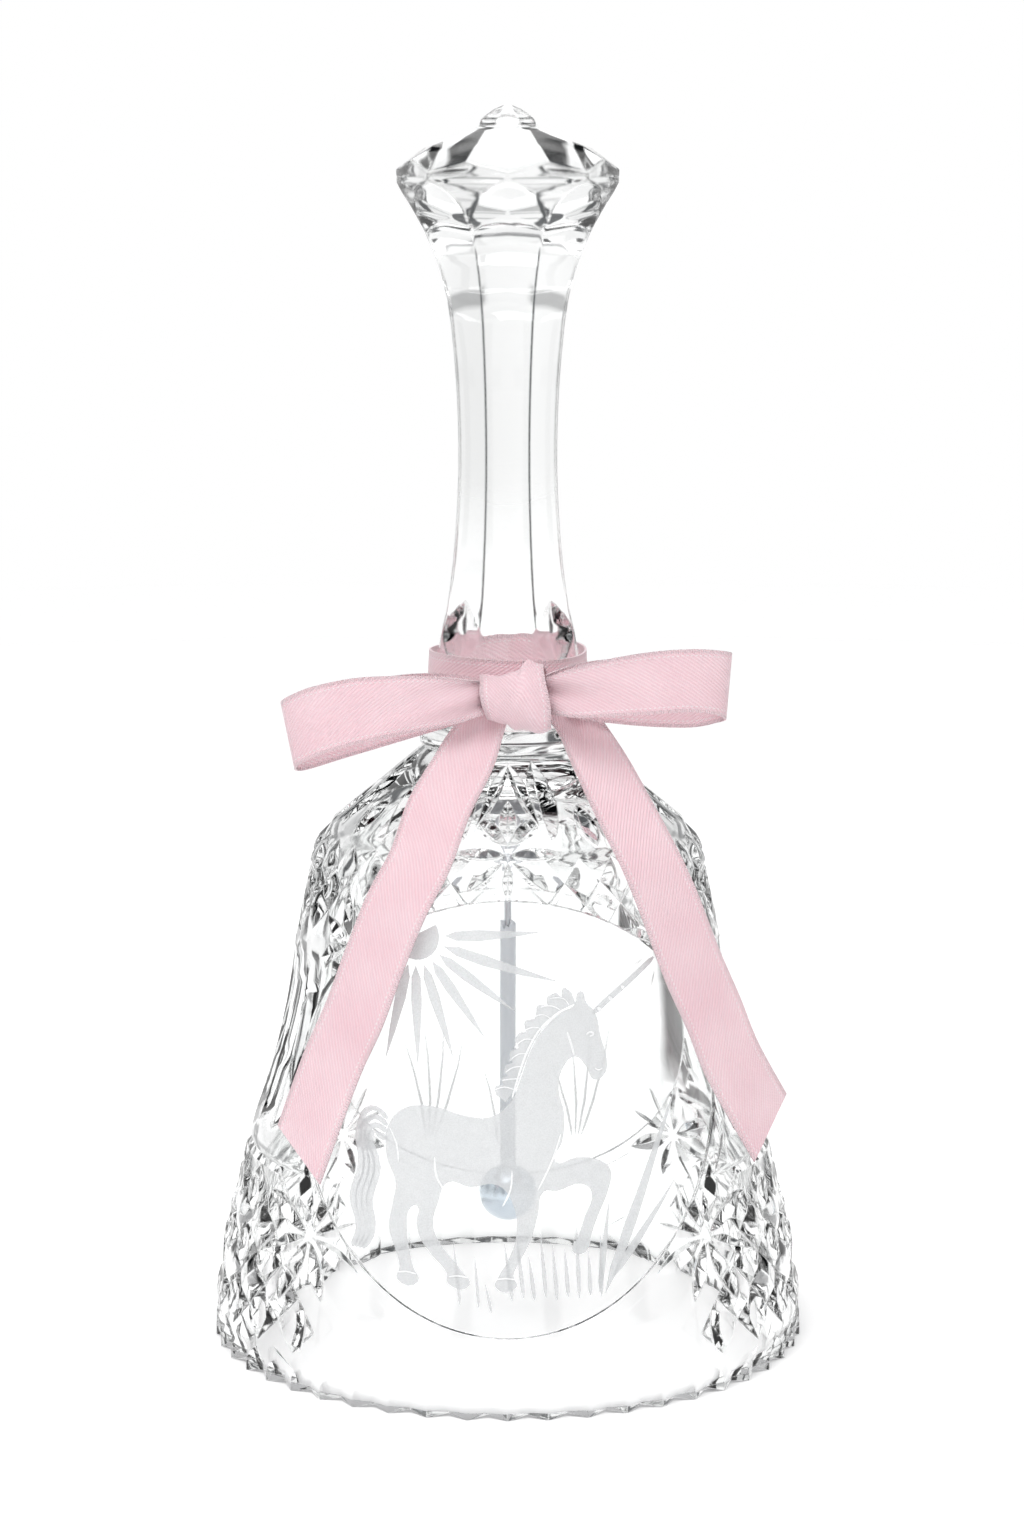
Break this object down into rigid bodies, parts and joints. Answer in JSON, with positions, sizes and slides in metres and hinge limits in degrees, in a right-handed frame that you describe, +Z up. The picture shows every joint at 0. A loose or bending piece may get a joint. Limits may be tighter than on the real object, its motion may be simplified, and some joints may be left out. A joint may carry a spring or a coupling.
{
  "type": "glass hand bell",
  "caption": "Cut-crystal hand bell with an octagonal knobbed handle, two round etched windows, a ball clapper on a wire and a pink satin ribbon bow at the neck.",
  "frame": {"origin": "on the bell's axis in the plane of the rim it stands on", "axes": "+Z up along the axis to the knob, -Y towards the front window, +X to the right of that window"},
  "size_m": [0.0872, 0.0872, 0.18],
  "materials": {
    "glass": "clear lead crystal, fire polished, cut facets",
    "white_plastic": "moulded plug, smooth",
    "cement": "clear-white adhesive, cured",
    "steel_wire": "drawn bright wire",
    "sleeve_plastic": "blue-grey translucent tube",
    "ball_metal": "pearly plated ball",
    "ribbon": "pale pink satin ribbon with woven edges"
  },
  "bodies": {
    "bell": {"bell_cup": "glass", "handle": "glass", "crown_plug": "white_plastic", "plug_cement": "cement", "plug_eye": "steel_wire", "ribbon_neck_band": "ribbon", "ribbon_knot": "ribbon", "ribbon_loop_left": "ribbon", "ribbon_loop_right": "ribbon", "ribbon_tail_left": "ribbon", "ribbon_tail_right": "ribbon"},
    "link": {"link_ring": "steel_wire"},
    "clapper": {"clapper_wire": "steel_wire", "clapper_sleeve": "sleeve_plastic", "clapper_ball": "ball_metal"}
  },
  "joints": [
    {"name": "link_swing", "type": "hinge", "parent": "bell", "child": "link", "pos_m": [0, 0, 0.07505], "axis": [1, 0, 0], "range_deg": [-12, 12]},
    {"name": "clapper_swing", "type": "hinge", "parent": "link", "child": "clapper", "pos_m": [0, 0, 0.07258], "axis": [0, 1, 0], "range_deg": [-30, 30]}
  ]
}
